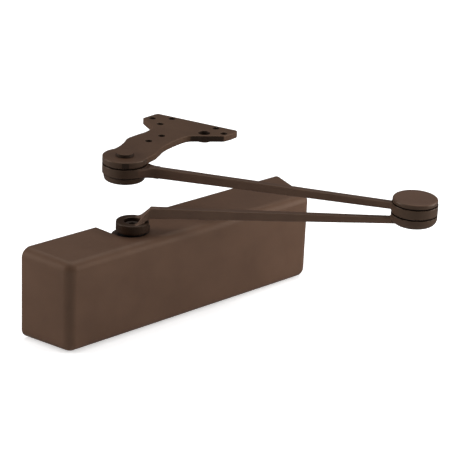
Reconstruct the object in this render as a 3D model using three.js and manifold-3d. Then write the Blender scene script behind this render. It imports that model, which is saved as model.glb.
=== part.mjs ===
// Surface-mounted hydraulic door closer with a parallel arm and a soffit bracket.
// Millimetres. +X runs along the closer, +Y points into the door, +Z is up, along the spindle.
// The origin is on the casting's mounting face, straight behind the spindle, at half height.

import * as THREE from "three";
import { mergeVertices } from "three/addons/utils/BufferGeometryUtils.js";
import { ConvexGeometry } from "three/addons/geometries/ConvexGeometry.js";
import Module from "manifold-3d";

const wasm = await Module();
wasm.setup();

// ---------------------------------------------------------------- driving dimensions

// Cover
const COVER_LENGTH = 311;
const COVER_HEIGHT = 87;
const COVER_DEPTH = 53.8;
const COVER_WALL = 2.5;
const COVER_LEFT = -102.5; // X of the left rim end; the spindle is at X = 0
const COVER_END_TAPER = 12.2; // how far each end leans in from the rim to the front face
const COVER_TOP_TAPER = 1;
const COVER_EDGE_RADIUS = 9;
const COVER_TOP = COVER_HEIGHT / 2;
const NOTCH_RADIUS = 18.2;
const NOTCH_CENTRE = [0.9, -21];
const NOTCH_FLARE = THREE.MathUtils.degToRad(9); // how far each side of the notch opens towards the back

// Spindle and gear
const SPINDLE_Y = -26;
const BARREL_Z = -2;
const GEAR_TEETH = 12;
const GEAR_MODULE = 1.75;
const GEAR_PRESSURE_ANGLE = THREE.MathUtils.degToRad(25);
const GEAR_PITCH_RADIUS = (GEAR_TEETH * GEAR_MODULE) / 2;
const GEAR_BACKLASH = 0.24;
const GEAR_LOW = -12;
const GEAR_HIGH = 8;
const JOURNAL_RADIUS = 9;
const SHAFT_RADIUS = 7.5; // between the journals, inside the rack's teeth
const SPINDLE_NECK_RADIUS = 8;
const COLLAR_RADIUS = 11.5;
const SPINDLE_SQUARE = 10.5; // across the flats

// Casting
const BARREL_RADIUS = 24;
const BARREL_LEFT = -84;
const BARREL_RIGHT = 186;
const BORE_RADIUS = 19;
const BOSS_RADIUS = 20.7;
const BOSS_TOP = 36;
const BOSS_BOTTOM = -36;
const BEARING_SEAT_RADIUS = 13.6;
const BASE_THICKNESS = 8;
const LUG_THICKNESS = 9;
const LUG_LENGTH = 26;
const LUG_X = [-76, 152]; // left edge of the two pairs of mounting lugs
const LUG_HOLE_X = [-69, 171];
const LUG_HOLE_Z = 31;
const LUG_HOLE_RADIUS = 3.4;
const COVER_SCREW_Y = -4.6;
const COVER_SCREW_X = [-56.5, 158.5];
const VALVE_X = [-54, -41, -28];
const VALVE_Z = 26;
const VALVE_FACE_Y = -46;

// Piston and springs
const PISTON_RADIUS = 18.9;
const PISTON_LEFT = -57;
const PISTON_RIGHT = 36;
const PISTON_WINDOW = [-47.5, 14.5];
const SPRING_SEAT_X = 160.3;
const ADJUSTER_X = [138, 190.5];
const ADJUSTER_RADIUS = 5;
const SPRING_GAP = 0.3;

// Arms
const ARM_HUB_BOTTOM = 44.8;
const ARM_HUB_TOP = 53.5;
const ARM_HUB_RADIUS = 14.9;
const ARM_RECESS_RADIUS = 7.6;
const ARM_RECESS_FLOOR = 48.4;
const MAIN_ARM_LENGTH = 251.7;
const MAIN_ARM_ANGLE = -40.57; // degrees from +X, seen from above
const FOREARM_LENGTH = 273;
const FOREARM_ANGLE = 122.88; // degrees from +X, from the elbow to the bracket
const BLADE_WIDTH = 7.2;
const KNUCKLE_RADIUS = 20.9;
const MAIN_KNUCKLE = [59.7, 69.6];
const FOREARM_KNUCKLE = [70.4, 79.5];
const CAP_BOTTOM = 80.3;
const ELBOW_CAP_TOP = 84.5;
const PIN_RADIUS = 6;
const BUSH_RADIUS = 8;
const WASHER_RADIUS = 19;

// Soffit bracket
const BRACKET_ANGLE = 20.5; // degrees from +X, from its eye towards its plate
const BRACKET_TOP = 86.6;
const BRACKET_CAP_BOTTOM = 63.8;
const EYE_RADIUS = 20.9;
const SCREW_HOLE_RADIUS = 3.4;
const LARGE_HOLE_RADIUS = 5.8;
const HOLE_RIM_RADIUS = 7.8; // round the large hole, under the plate
const HOLE_RIM_DEPTH = 1.4;
const BRACKET_SCREW_HOLES = [
  [106.4, 31.9],
  [95.9, 17.2],
  [116, 15.4],
  [67, -0.9],
  [47.4, 1.9],
  [115.7, -33.7],
  [106.5, -47.3],
];
const BRACKET_LARGE_HOLE = [97.3, -30.8];

// Flats around a full turn
const FINE = 36;
const ROUND = 24;
const SMALL = 16;

// ---------------------------------------------------------------- solids

// A closed geometry as a manifold-3d solid, turned outside out if its faces point in.
function solid(geometry) {
  const bare = geometry.index ? geometry.toNonIndexed() : geometry.clone();
  bare.deleteAttribute("normal");
  bare.deleteAttribute("uv");
  const merged = mergeVertices(bare, 1e-4);
  const triVerts = new Uint32Array(merged.index.array);
  const vertProperties = merged.attributes.position.array;
  const made = new wasm.Manifold(new wasm.Mesh({ numProp: 3, vertProperties, triVerts }));
  if (made.volume() > 0) return made;
  for (let i = 0; i < triVerts.length; i += 3) {
    [triVerts[i + 1], triVerts[i + 2]] = [triVerts[i + 2], triVerts[i + 1]];
  }
  return new wasm.Manifold(new wasm.Mesh({ numProp: 3, vertProperties, triVerts }));
}

function geometryOf(body) {
  const mesh = body.getMesh();
  const geometry = new THREE.BufferGeometry();
  geometry.setAttribute("position", new THREE.BufferAttribute(mesh.vertProperties, 3));
  geometry.setIndex(new THREE.BufferAttribute(mesh.triVerts, 1));
  geometry.computeVertexNormals();
  return geometry;
}

// A box from its lowest to its highest corner.
function box(low, high) {
  const geometry = new THREE.BoxGeometry(high[0] - low[0], high[1] - low[1], high[2] - low[2]);
  geometry.translate((low[0] + high[0]) / 2, (low[1] + high[1]) / 2, (low[2] + high[2]) / 2);
  return solid(geometry);
}

// A turned piece: profile points are [radius, height], from the axis and back to it, or a closed ring.
function turned(profile, axis = "z", centre = [0, 0, 0], segments = ROUND) {
  const points = profile.map(([radius, height]) => new THREE.Vector2(radius, height));
  const geometry = new THREE.LatheGeometry(points, segments);
  if (axis === "z") geometry.rotateX(Math.PI / 2);
  if (axis === "x") geometry.rotateZ(-Math.PI / 2);
  geometry.translate(...centre);
  return solid(geometry);
}

function rod(radius, low, high, axis = "z", centre = [0, 0, 0], segments = ROUND) {
  return turned([[0, low], [radius, low], [radius, high], [0, high]], axis, centre, segments);
}

function tube(inner, outer, low, high, axis = "z", centre = [0, 0, 0], segments = ROUND) {
  const ring = [[inner, low], [outer, low], [outer, high], [inner, high], [inner, low]];
  return turned(ring, axis, centre, segments);
}

// A flat outline in X and Y, pulled up in Z.
function prism(outline, low, high, curveSegments = 8) {
  const options = { depth: high - low, bevelEnabled: false, curveSegments };
  const geometry = new THREE.ExtrudeGeometry(outline, options);
  geometry.translate(0, 0, low);
  return solid(geometry);
}

function polygon(points) {
  return new THREE.Shape(points.map(([x, y]) => new THREE.Vector2(x, y)));
}

// A bar of n flats, lying along Z; size is across the flats.
function flatBar(sides, size, low, high) {
  const corner = size / 2 / Math.cos(Math.PI / sides);
  const points = [];
  for (let i = 0; i < sides; i += 1) {
    const angle = ((i + 0.5) / sides) * Math.PI * 2;
    points.push([corner * Math.cos(angle), corner * Math.sin(angle)]);
  }
  return prism(polygon(points), low, high);
}

function hull(points) {
  return solid(new ConvexGeometry(points.map((point) => new THREE.Vector3(...point))));
}

// Quarter-round profile points, from the side wall in to an end face.
function roundedEdge(radius, height, fillet, towards, steps = 4) {
  const points = [];
  for (let i = 0; i <= steps; i += 1) {
    const angle = (i / steps) * (Math.PI / 2);
    const inwards = fillet * (1 - Math.cos(angle));
    const upwards = fillet * (1 - Math.sin(angle));
    points.push([radius - inwards, height - towards * upwards]);
  }
  return points;
}

// ---------------------------------------------------------------- finishes

const FINISH = {
  cover: { color: 0x4a3a30, roughness: 0.5, metalness: 0.35 },
  arm: { color: 0x3b2e27, roughness: 0.45, metalness: 0.4 },
  iron: { color: 0x55565a, roughness: 0.7, metalness: 0.6 },
  steel: { color: 0x9a9ca0, roughness: 0.35, metalness: 0.9 },
  screw: { color: 0x2c2420, roughness: 0.4, metalness: 0.6 },
  bronze: { color: 0xa9823f, roughness: 0.4, metalness: 0.8 },
  rubber: { color: 0x151515, roughness: 0.9, metalness: 0 },
  polymer: { color: 0x1d1c1a, roughness: 0.6, metalness: 0 },
};

const closer = new THREE.Group();

// Adds a solid as a named mesh to a group.
function add(name, body, finish, group = closer) {
  const mesh = new THREE.Mesh(geometryOf(body), new THREE.MeshStandardMaterial(FINISH[finish]));
  mesh.name = name;
  group.add(mesh);
}

const spindleCentre = [0, SPINDLE_Y, 0];
const barrelCentre = [0, SPINDLE_Y, BARREL_Z];

// ---------------------------------------------------------------- cover

// The cover's block, smaller all round by inset; it runs past the back by the wall thickness.
function coverBlock(inset) {
  const radius = COVER_EDGE_RADIUS - inset;
  const bevel = radius - 1; // a little less than the corner radius, so the front face keeps corners
  const halfLength = COVER_LENGTH / 2 - inset;
  const halfHeight = COVER_HEIGHT / 2 - inset;
  const outline = new THREE.Shape();
  outline.moveTo(-halfLength + radius, -halfHeight);
  outline.lineTo(halfLength - radius, -halfHeight);
  outline.absarc(halfLength - radius, -halfHeight + radius, radius, -Math.PI / 2, 0);
  outline.absarc(halfLength - radius, halfHeight - radius, radius, 0, Math.PI / 2);
  outline.absarc(-halfLength + radius, halfHeight - radius, radius, Math.PI / 2, Math.PI);
  outline.absarc(-halfLength + radius, -halfHeight + radius, radius, Math.PI, Math.PI * 1.5);
  const options = {
    depth: COVER_DEPTH - inset,
    bevelThickness: bevel,
    bevelSize: bevel,
    bevelOffset: -bevel,
    bevelSegments: 4,
    curveSegments: 4,
  };
  const geometry = new THREE.ExtrudeGeometry(outline, options);
  geometry.rotateX(Math.PI / 2);
  geometry.translate(COVER_LEFT + COVER_LENGTH / 2, bevel, 0);
  const middle = COVER_LEFT + COVER_LENGTH / 2;
  const place = geometry.attributes.position;
  for (let i = 0; i < place.count; i += 1) {
    const forward = -place.getY(i) / COVER_DEPTH;
    const narrow = 1 - (forward * COVER_END_TAPER * 2) / COVER_LENGTH;
    const lower = 1 - (forward * COVER_TOP_TAPER * 2) / COVER_HEIGHT;
    place.setX(i, middle + (place.getX(i) - middle) * narrow);
    place.setZ(i, place.getZ(i) * lower);
  }
  const back = box([-400, 0, -200], [400, 100, 200]);
  const front = box([-400, -COVER_DEPTH + inset - 100, -200], [400, -COVER_DEPTH + inset, 200]);
  return solid(geometry).subtract(inset > 0 ? front : front.add(back));
}

// A U in X and Y round the spindle, open at the back, through the cover's top wall.
function notchCutter() {
  const [middleX, middleY] = NOTCH_CENTRE;
  const outline = new THREE.Shape();
  const reach = NOTCH_RADIUS * Math.cos(NOTCH_FLARE);
  const tangentY = middleY - NOTCH_RADIUS * Math.sin(NOTCH_FLARE);
  const backX = reach + (10 - tangentY) * Math.tan(NOTCH_FLARE);
  outline.moveTo(middleX + backX, 10);
  outline.lineTo(middleX - backX, 10);
  outline.absarc(middleX, middleY, NOTCH_RADIUS, Math.PI + NOTCH_FLARE, -NOTCH_FLARE, false);
  return prism(outline, 30, 60, 20);
}

const coverScrewSeat = [[0, -50], [4.2, -50], [4.2, -COVER_TOP], [2.2, -41.2], [2.2, -30], [0, -30]];

function makeCover() {
  let shell = coverBlock(0).subtract(coverBlock(COVER_WALL));
  shell = shell.subtract(notchCutter());
  for (const x of COVER_SCREW_X) {
    shell = shell.subtract(turned(coverScrewSeat, "z", [x, COVER_SCREW_Y, 0], SMALL));
  }
  return shell;
}

add("cover", makeCover(), "cover");

// Countersunk screws up through the cover's bottom wall into the lower lugs.
const coverScrewProfile = [[0, -43.3], [3.9, -43.3], [2, -41.4], [2, -30.6], [0, -30.6]];
COVER_SCREW_X.forEach((x, i) => {
  const slot = box([x - 4.5, COVER_SCREW_Y - 0.5, -44], [x + 4.5, COVER_SCREW_Y + 0.5, -42.5]);
  const screw = turned(coverScrewProfile, "z", [x, COVER_SCREW_Y, 0], SMALL).subtract(slot);
  add(`cover_screw_${i + 1}`, screw, "screw");
});

// ---------------------------------------------------------------- casting

function makeCasting() {
  let body = rod(BARREL_RADIUS, BARREL_LEFT, BARREL_RIGHT, "x", barrelCentre, FINE);
  body = body.add(rod(BOSS_RADIUS, BOSS_BOTTOM, BOSS_TOP, "z", spindleCentre, FINE));
  body = body.add(box([LUG_X[0], -BASE_THICKNESS, -26], [LUG_X[1] + LUG_LENGTH, 0, 22]));
  for (const x of LUG_X) {
    body = body.add(box([x, -LUG_THICKNESS, 20], [x + LUG_LENGTH, 0, 39]));
    body = body.add(box([x, -LUG_THICKNESS, -40.5], [x + LUG_LENGTH, 0, -24]));
  }
  const blockLow = [VALVE_X[0] - 10, VALVE_FACE_Y, 8];
  body = body.add(box(blockLow, [VALVE_X[2] + 10, SPINDLE_Y + 2, 34]));

  body = body.subtract(rod(BORE_RADIUS, BARREL_LEFT - 5, BARREL_RIGHT + 5, "x", barrelCentre, FINE));
  body = body.subtract(rod(BEARING_SEAT_RADIUS, BOSS_BOTTOM - 1, BOSS_TOP + 1, "z", spindleCentre));
  for (const x of LUG_HOLE_X) {
    for (const z of [-LUG_HOLE_Z, LUG_HOLE_Z]) {
      body = body.subtract(rod(LUG_HOLE_RADIUS, -20, 5, "y", [x, 0, z], SMALL));
    }
  }
  for (const x of COVER_SCREW_X) {
    body = body.subtract(rod(2.1, -45, -29, "z", [x, COVER_SCREW_Y, 0], SMALL));
  }
  for (const x of VALVE_X) {
    body = body.subtract(rod(4.3, VALVE_FACE_Y - 1, VALVE_FACE_Y + 4, "y", [x, 0, VALVE_Z], SMALL));
    body = body.subtract(rod(2.7, VALVE_FACE_Y - 1, VALVE_FACE_Y + 21, "y", [x, 0, VALVE_Z], SMALL));
  }
  return body;
}

add("body_casting", makeCasting(), "iron");

// ---------------------------------------------------------------- barrel ends

const SEAL_GROOVE = 1.9;

function endCapProfile(inner, outer, direction) {
  const at = (x) => inner + direction * x;
  return [
    [0, at(0)],
    [BORE_RADIUS - 0.1, at(0)],
    [BORE_RADIUS - 0.1, at(4)],
    [BORE_RADIUS - 0.1 - SEAL_GROOVE, at(4)],
    [BORE_RADIUS - 0.1 - SEAL_GROOVE, at(7)],
    [BORE_RADIUS - 0.1, at(7)],
    [BORE_RADIUS - 0.1, outer - direction * 3.6],
    [BARREL_RADIUS - 1, outer - direction * 3.6],
    [BARREL_RADIUS - 1, outer],
    [0, outer],
  ];
}

const LEFT_CAP = [-66, -88];
const RIGHT_CAP = [171.8, 190];
const hexKey = flatBar(6, 16, -6, 6);
let leftCap = turned(endCapProfile(LEFT_CAP[0], LEFT_CAP[1], -1), "x", barrelCentre);
leftCap = leftCap.subtract(hexKey.rotate([0, 90, 0]).translate([LEFT_CAP[1], SPINDLE_Y, BARREL_Z]));
add("end_cap_left", leftCap, "steel");

let rightCap = turned(endCapProfile(RIGHT_CAP[0], RIGHT_CAP[1], 1), "x", barrelCentre);
rightCap = rightCap.subtract(rod(ADJUSTER_RADIUS + 0.3, 160, 200, "x", barrelCentre, SMALL));
add("end_cap_right", rightCap, "steel");

const sealInner = BORE_RADIUS - SEAL_GROOVE;
const endSeal = tube(sealInner, BORE_RADIUS - 0.08, -1.2, 1.2, "x", barrelCentre, FINE);
add("end_seal_left", endSeal.translate([LEFT_CAP[0] - 5.5, 0, 0]), "rubber");
add("end_seal_right", endSeal.translate([RIGHT_CAP[0] + 5.5, 0, 0]), "rubber");

// ---------------------------------------------------------------- spindle bearings

const BEARING_LENGTH = 14;
const bearingOuter = BEARING_SEAT_RADIUS - 0.1;
const bearingRing = tube(JOURNAL_RADIUS + 0.1, bearingOuter, 0, BEARING_LENGTH, "z", spindleCentre);
add("upper_bearing", bearingRing.translate([0, 0, 20]), "steel");
add("lower_bearing", bearingRing.translate([0, 0, -35]), "steel");

const UPPER_CAP_RADIUS = 19;
const UPPER_CAP = [36.3, 39.9];
const SEAL_RADIUS = 12.3;
const upperCapProfile = [
  [SEAL_RADIUS + 0.2, UPPER_CAP[0]],
  [UPPER_CAP_RADIUS, UPPER_CAP[0]],
  ...roundedEdge(UPPER_CAP_RADIUS, UPPER_CAP[1], 0.8, 1, 2),
  [SEAL_RADIUS + 0.2, UPPER_CAP[1]],
  [SEAL_RADIUS + 0.2, UPPER_CAP[0]],
];
let upperCap = turned(upperCapProfile, "z", spindleCentre, FINE);
for (const side of [-1, 1]) {
  const keyHole = [0, SPINDLE_Y + side * 15.8, 0];
  upperCap = upperCap.subtract(rod(1.6, 38, 45, "z", keyHole, SMALL));
}
add("upper_bearing_cap", upperCap, "iron");
add("spindle_seal", tube(SPINDLE_NECK_RADIUS + 0.2, SEAL_RADIUS, 36.8, 39.4, "z", spindleCentre), "rubber");

const lowerCapProfile = [
  [0, -39.6],
  [BOSS_RADIUS - 1.6, -39.6],
  [BOSS_RADIUS - 1.6, -36.3],
  [BEARING_SEAT_RADIUS - 0.2, -36.3],
  [BEARING_SEAT_RADIUS - 0.2, -35.5],
  [0, -35.5],
];
add("lower_bearing_cap", turned(lowerCapProfile, "z", spindleCentre), "iron");

// ---------------------------------------------------------------- regulating valves

const VALVE_NAMES = ["backcheck_valve", "sweep_valve", "latch_valve"];
const valveProfile = [
  [0, VALVE_FACE_Y - 1.5],
  [3.9, VALVE_FACE_Y - 1.5],
  [3.9, VALVE_FACE_Y + 3.6],
  [2.5, VALVE_FACE_Y + 3.6],
  [2.5, VALVE_FACE_Y + 17],
  [0, VALVE_FACE_Y + 20],
];
VALVE_X.forEach((x, i) => {
  const slotLow = [x - 5, VALVE_FACE_Y - 2, VALVE_Z - 0.5];
  const slot = box(slotLow, [x + 5, VALVE_FACE_Y - 0.1, VALVE_Z + 0.5]);
  add(VALVE_NAMES[i], turned(valveProfile, "y", [x, 0, VALVE_Z], SMALL).subtract(slot), "steel");
});

// ---------------------------------------------------------------- spring adjuster and springs

let adjuster = rod(ADJUSTER_RADIUS, ADJUSTER_X[0], ADJUSTER_X[1], "x", barrelCentre, SMALL);
const adjusterHead = flatBar(6, 13, ADJUSTER_X[1] - 0.1, ADJUSTER_X[1] + 5.5).rotate([0, 90, 0]);
adjuster = adjuster.add(adjusterHead.translate([0, SPINDLE_Y, BARREL_Z]));
add("spring_adjuster", adjuster, "steel");

const SEAT_HOLE = ADJUSTER_RADIUS + 0.2;
const seatProfile = [
  [SEAT_HOLE, SPRING_SEAT_X - 6],
  [8, SPRING_SEAT_X - 6],
  [8, SPRING_SEAT_X],
  [PISTON_RADIUS - 0.3, SPRING_SEAT_X],
  [PISTON_RADIUS - 0.3, SPRING_SEAT_X + 6],
  [SEAT_HOLE, SPRING_SEAT_X + 6],
  [SEAT_HOLE, SPRING_SEAT_X - 6],
];
add("spring_seat", turned(seatProfile, "x", barrelCentre), "steel");

class Helix extends THREE.Curve {
  constructor(radius, turns, start, end) {
    super();
    Object.assign(this, { radius, turns, start, end });
  }

  getPoint(t, target = new THREE.Vector3()) {
    const angle = t * this.turns * Math.PI * 2;
    const x = THREE.MathUtils.lerp(this.start, this.end, t);
    return target.set(x, this.radius * Math.cos(angle), this.radius * Math.sin(angle));
  }
}

function spring(radius, wire, turns, sides, stepsPerTurn) {
  const start = PISTON_RIGHT + SPRING_GAP + wire + 0.2;
  const end = SPRING_SEAT_X - SPRING_GAP - wire - 0.2;
  const path = new Helix(radius, turns, start, end);
  const ring = [];
  for (let i = 0; i < sides; i += 1) {
    const angle = (i / sides) * Math.PI * 2;
    ring.push([wire * Math.cos(angle), wire * Math.sin(angle)]);
  }
  const options = { steps: turns * stepsPerTurn, bevelEnabled: false, extrudePath: path };
  const geometry = new THREE.ExtrudeGeometry(polygon(ring), options);
  geometry.translate(...barrelCentre);
  return solid(geometry);
}

add("spring_outer", spring(16.4, 2, 8, 5, 9), "steel");
add("spring_inner", spring(10.6, 1.3, 11, 4, 8), "steel");

// ---------------------------------------------------------------- piston and rack

const tan = Math.tan(GEAR_PRESSURE_ANGLE);

// Rack outline in X and Y: teeth point to the spindle, at -Y, with a space centred on X = 0.
function rackOutline(first, last) {
  const pitch = Math.PI * GEAR_MODULE;
  const tip = GEAR_PITCH_RADIUS - GEAR_MODULE;
  const root = GEAR_PITCH_RADIUS + GEAR_MODULE * 1.25;
  const half = pitch / 4 - GEAR_BACKLASH / 2;
  const points = [];
  for (let i = first; i <= last; i += 1) {
    const middle = (i + 0.5) * pitch;
    const wide = half + (root - GEAR_PITCH_RADIUS) * tan;
    const thin = half - GEAR_MODULE * tan;
    points.push([middle - wide, root], [middle - thin, tip]);
    points.push([middle + thin, tip], [middle + wide, root]);
  }
  return points;
}

function makePiston() {
  const [left, right] = PISTON_WINDOW;
  const front = -(GEAR_PITCH_RADIUS + GEAR_MODULE + 0.9);
  const root = GEAR_PITCH_RADIUS + GEAR_MODULE * 1.25;
  const window = [[left, front], [right, front], [right, root]];
  const teeth = rackOutline(-8, 1).reverse();
  const outline = polygon([...window, ...teeth, [left, root]]);
  let body = rod(PISTON_RADIUS, PISTON_LEFT, PISTON_RIGHT, "x", [0, 0, BARREL_Z], FINE);
  body = body.subtract(prism(outline, -40, 40));
  for (const x of [PISTON_LEFT + 3, PISTON_RIGHT - 6]) {
    const groove = tube(PISTON_RADIUS - 1.6, PISTON_RADIUS + 2, x, x + 3, "x", [0, 0, BARREL_Z], FINE);
    body = body.subtract(groove);
  }
  const seat = rod(3.1, PISTON_LEFT - 1, PISTON_LEFT + 6, "x", [0, 0, BARREL_Z], SMALL);
  const passage = rod(1.6, PISTON_LEFT - 1, PISTON_WINDOW[0] + 1, "x", [0, 0, BARREL_Z], 12);
  return body.subtract(seat).subtract(passage).translate([0, SPINDLE_Y, 0]);
}

add("piston", makePiston(), "steel");
const pistonRing = tube(PISTON_RADIUS - 1.5, PISTON_RADIUS, 0.2, 2.8, "x", barrelCentre, FINE);
add("piston_ring_left", pistonRing.translate([PISTON_LEFT + 3, 0, 0]), "polymer");
add("piston_ring_right", pistonRing.translate([PISTON_RIGHT - 6, 0, 0]), "polymer");

const ball = new THREE.SphereGeometry(2.2, 10, 6).translate(PISTON_LEFT + 3.6, SPINDLE_Y, BARREL_Z);
add("check_ball", solid(ball), "steel");
add("check_ball_retainer", tube(1.2, 3, PISTON_LEFT, PISTON_LEFT + 1, "x", barrelCentre, SMALL), "steel");

// ---------------------------------------------------------------- spindle with its pinion

const involute = (angle) => Math.tan(angle) - angle;

// A gear outline with a tooth centred on +Y, so that it sits in the rack's space at X = 0.
function gearOutline() {
  const base = GEAR_PITCH_RADIUS * Math.cos(GEAR_PRESSURE_ANGLE);
  const root = GEAR_PITCH_RADIUS - GEAR_MODULE * 1.25;
  const tip = GEAR_PITCH_RADIUS + GEAR_MODULE;
  const halfTooth = Math.PI / 2 / GEAR_TEETH - GEAR_BACKLASH / 2 / GEAR_PITCH_RADIUS;
  const flank = [];
  for (let i = 0; i <= 3; i += 1) {
    const radius = THREE.MathUtils.lerp(base + 0.05, tip, i / 3);
    const turn = involute(Math.acos(base / radius));
    flank.push([radius, halfTooth + involute(GEAR_PRESSURE_ANGLE) - turn]);
  }
  const points = [];
  const put = (radius, angle) => points.push([radius * Math.cos(angle), radius * Math.sin(angle)]);
  for (let tooth = 0; tooth < GEAR_TEETH; tooth += 1) {
    const middle = Math.PI / 2 + (tooth / GEAR_TEETH) * Math.PI * 2;
    put(root, middle - flank[0][1]);
    for (const [radius, offset] of flank) put(radius, middle - offset);
    for (const [radius, offset] of [...flank].reverse()) put(radius, middle + offset);
    put(root, middle + flank[0][1]);
  }
  return points;
}

function makeSpindle() {
  const shaft = [
    [0, -35],
    [JOURNAL_RADIUS, -35],
    [JOURNAL_RADIUS, -21.2],
    [SHAFT_RADIUS, -21.2],
    [SHAFT_RADIUS, 17.5],
    [JOURNAL_RADIUS, 17.5],
    [JOURNAL_RADIUS, 35.6],
    [SPINDLE_NECK_RADIUS, 35.6],
    [SPINDLE_NECK_RADIUS, 41],
    [COLLAR_RADIUS, 41],
    [COLLAR_RADIUS, 44.2],
    [0, 44.2],
  ];
  let body = turned(shaft);
  body = body.add(prism(polygon(gearOutline()), GEAR_LOW, GEAR_HIGH));
  body = body.add(flatBar(4, SPINDLE_SQUARE, 44, 48).rotate([0, 0, MAIN_ARM_ANGLE]));
  body = body.subtract(rod(3.3, 35, 49, "z", [0, 0, 0], SMALL));
  return body.translate([0, SPINDLE_Y, 0]);
}

add("spindle", makeSpindle(), "steel");

// ---------------------------------------------------------------- main arm

// Sections of the gooseneck: distance along the arm, half width, bottom and top
const GOOSENECK = [
  [4.3, 12, 50.5, 53.5],
  [9, 6.6, 52.9, 58.8],
  [17, 3.6, 57, 66.7],
];

const mainArmGroup = new THREE.Group();
mainArmGroup.position.set(0, SPINDLE_Y, 0);
mainArmGroup.rotation.z = THREE.MathUtils.degToRad(MAIN_ARM_ANGLE);
closer.add(mainArmGroup);

// A blade along X whose height changes from one end to the other.
function blade(start, end, width) {
  const corners = [];
  for (const [x, low, high] of [start, end]) {
    for (const side of [-1, 1]) {
      corners.push([x, (side * width) / 2, low + 1.5], [x, (side * width) / 2, high - 1.5]);
      corners.push([x, side * (width / 2 - 1.2), low], [x, side * (width / 2 - 1.2), high]);
    }
  }
  return hull(corners);
}

const MAIN_BLADE_ROOT = [17, 56.9, 66.7];
const MAIN_BLADE_TIP = [MAIN_ARM_LENGTH - 12, 59.7, 65.2];

function makeMainArm() {
  let body = rod(ARM_HUB_RADIUS, ARM_HUB_BOTTOM, ARM_HUB_TOP, "z", [0, 0, 0], FINE);
  // Lower lug beside the hub
  body = body.add(rod(8.7, ARM_HUB_BOTTOM, ARM_HUB_BOTTOM + 4.5, "z", [7.2, 0, 0], ROUND));
  // Gooseneck from the hub's top up to the blade
  const [foot, waist, head] = GOOSENECK.map(([x, half, bottom, top]) => {
    const corners = [];
    for (const y of [-half, half]) corners.push([x, y, bottom], [x, y, top]);
    return corners;
  });
  body = body.add(hull([...foot, ...waist])).add(hull([...waist, ...head]));
  body = body.add(blade(MAIN_BLADE_ROOT, MAIN_BLADE_TIP, BLADE_WIDTH));
  const [low, high] = MAIN_KNUCKLE;
  const edge = roundedEdge(KNUCKLE_RADIUS, low, 6.5, -1, 5).reverse();
  const knuckle = [[0, low], ...edge, [KNUCKLE_RADIUS, high], [0, high]];
  body = body.add(turned(knuckle, "z", [MAIN_ARM_LENGTH, 0, 0], FINE));
  body = body.subtract(rod(ARM_RECESS_RADIUS, ARM_RECESS_FLOOR, 60, "z", [0, 0, 0]));
  body = body.subtract(flatBar(4, SPINDLE_SQUARE + 0.2, 40, 50));
  return body.subtract(rod(PIN_RADIUS, 50, 75, "z", [MAIN_ARM_LENGTH, 0, 0]));
}

add("main_arm", makeMainArm(), "arm", mainArmGroup);

// Screw through the hub into the spindle, with a hexagon socket in its head.
const armScrewProfile = [[0, 37], [3.1, 37], [3.1, 48.5], [7.3, 48.5], [7.3, 49.9], [6.7, 50.4], [0, 50.4]];
const armScrew = turned(armScrewProfile).subtract(flatBar(6, 6, 48.9, 52));
add("arm_screw", armScrew, "screw", mainArmGroup);

// ---------------------------------------------------------------- elbow

const elbow = [MAIN_ARM_LENGTH, 0, 0];
const ELBOW_PIN = [61.2, CAP_BOTTOM - 0.1];
add("elbow_pin", rod(PIN_RADIUS - 0.05, ELBOW_PIN[0], ELBOW_PIN[1], "z", elbow), "steel", mainArmGroup);
const capEdge = roundedEdge(KNUCKLE_RADIUS - 0.4, ELBOW_CAP_TOP, 3, 1, 4);
const elbowCap = [[0, CAP_BOTTOM], [KNUCKLE_RADIUS - 0.4, CAP_BOTTOM], ...capEdge, [0, ELBOW_CAP_TOP]];
add("elbow_cap", turned(elbowCap, "z", elbow, FINE), "arm", mainArmGroup);
const WASHER_THICKNESS = 0.6;
const washer = tube(BUSH_RADIUS + 0.6, WASHER_RADIUS, 0.1, 0.1 + WASHER_THICKNESS);
const lowerWasher = washer.translate([0, 0, MAIN_KNUCKLE[1]]);
const upperWasher = washer.translate([0, 0, FOREARM_KNUCKLE[1]]);
add("elbow_lower_washer", lowerWasher.translate(elbow), "polymer", mainArmGroup);
add("elbow_upper_washer", upperWasher.translate(elbow), "polymer", mainArmGroup);

// ---------------------------------------------------------------- forearm

const forearmGroup = new THREE.Group();
forearmGroup.position.set(MAIN_ARM_LENGTH, 0, 0);
forearmGroup.rotation.z = THREE.MathUtils.degToRad(FOREARM_ANGLE - MAIN_ARM_ANGLE);
mainArmGroup.add(forearmGroup);

const FOREARM_BLADE_ELBOW = [12, 71.2, 77.4];
const FOREARM_BLADE_BRACKET = [FOREARM_LENGTH - 24, 69, 79.3];

function makeForearm() {
  const [low, high] = FOREARM_KNUCKLE;
  const end = [FOREARM_LENGTH, 0, 0];
  let body = rod(KNUCKLE_RADIUS, low, high, "z", [0, 0, 0], FINE);
  body = body.add(rod(KNUCKLE_RADIUS, low, high, "z", end, FINE));
  body = body.add(blade(FOREARM_BLADE_ELBOW, FOREARM_BLADE_BRACKET, BLADE_WIDTH));
  const neck = [];
  for (const side of [-1, 1]) {
    neck.push([FOREARM_LENGTH - 11, side * 14.5, 71.5], [FOREARM_LENGTH - 11, side * 14.5, 77.5]);
    neck.push([FOREARM_LENGTH - 32, side * 3.6, 70.6], [FOREARM_LENGTH - 32, side * 3.6, 77.7]);
    neck.push([FOREARM_LENGTH - 32, side * 2.4, 69.2], [FOREARM_LENGTH - 32, side * 2.4, 79.2]);
  }
  body = body.add(hull(neck));
  for (const centre of [[0, 0, 0], end]) {
    body = body.subtract(rod(BUSH_RADIUS, low - 2, high + 2, "z", centre));
  }
  return body;
}

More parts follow.
